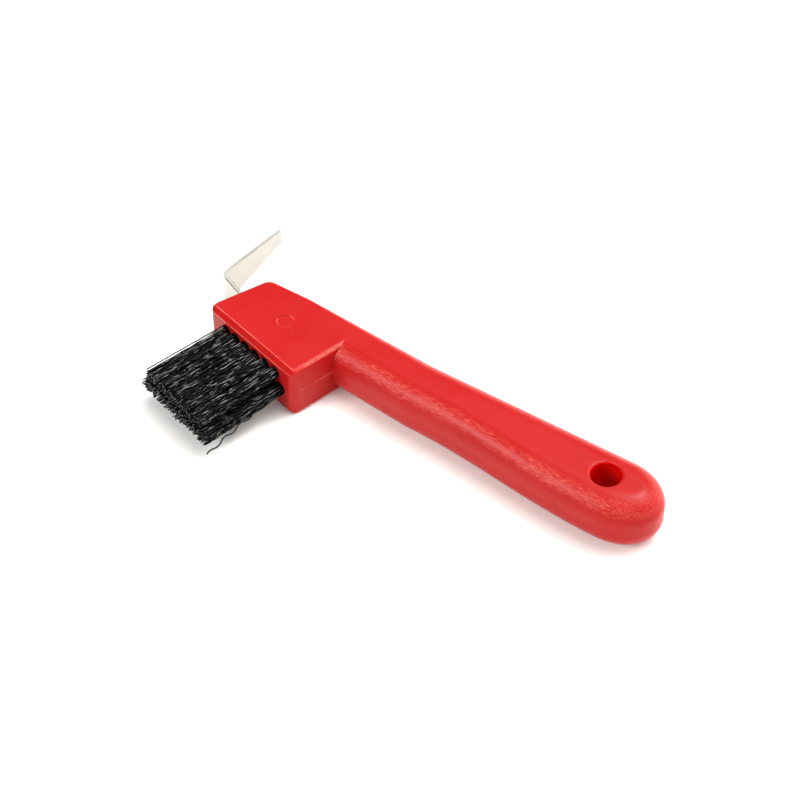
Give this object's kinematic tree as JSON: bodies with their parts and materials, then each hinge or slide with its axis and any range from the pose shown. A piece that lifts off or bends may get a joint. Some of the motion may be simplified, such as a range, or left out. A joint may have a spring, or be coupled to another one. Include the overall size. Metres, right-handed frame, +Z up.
{
  "type": "hoof pick with brush",
  "caption": "Hand tool for cleaning hooves: moulded plastic handle and angled head, with a bent flat steel pick on one side of the head and stiff black bristle tufts on the other.",
  "frame": {"origin": "on the resting plane, under the middle of the overall box", "axes": "+X along the handle towards the head, +Y the bristle side, +Z up; the tool lies flat"},
  "size_m": [0.1778, 0.0926, 0.02],
  "materials": {
    "body": "moulded polypropylene, semi-gloss, lightly scuffed",
    "pick": "plain steel strip, bright, lightly scratched",
    "bristle": "crimped black polypropylene filament",
    "wire": "flat anchor wire"
  },
  "bodies": {
    "root": {"body": "body", "pick": "pick", "tuft_lower_1": "bristle", "tuft_lower_2": "bristle", "tuft_lower_3": "bristle", "tuft_lower_4": "bristle", "tuft_lower_5": "bristle", "tuft_lower_6": "bristle", "tuft_lower_7": "bristle", "tuft_upper_1": "bristle", "tuft_upper_2": "bristle", "tuft_upper_3": "bristle", "tuft_upper_4": "bristle", "tuft_upper_5": "bristle", "tuft_upper_6": "bristle", "anchor_lower_1": "wire", "anchor_lower_2": "wire", "anchor_lower_3": "wire", "anchor_lower_4": "wire", "anchor_lower_5": "wire", "anchor_lower_6": "wire", "anchor_lower_7": "wire", "anchor_upper_1": "wire", "anchor_upper_2": "wire", "anchor_upper_3": "wire", "anchor_upper_4": "wire", "anchor_upper_5": "wire", "anchor_upper_6": "wire"}
  },
  "joints": []
}
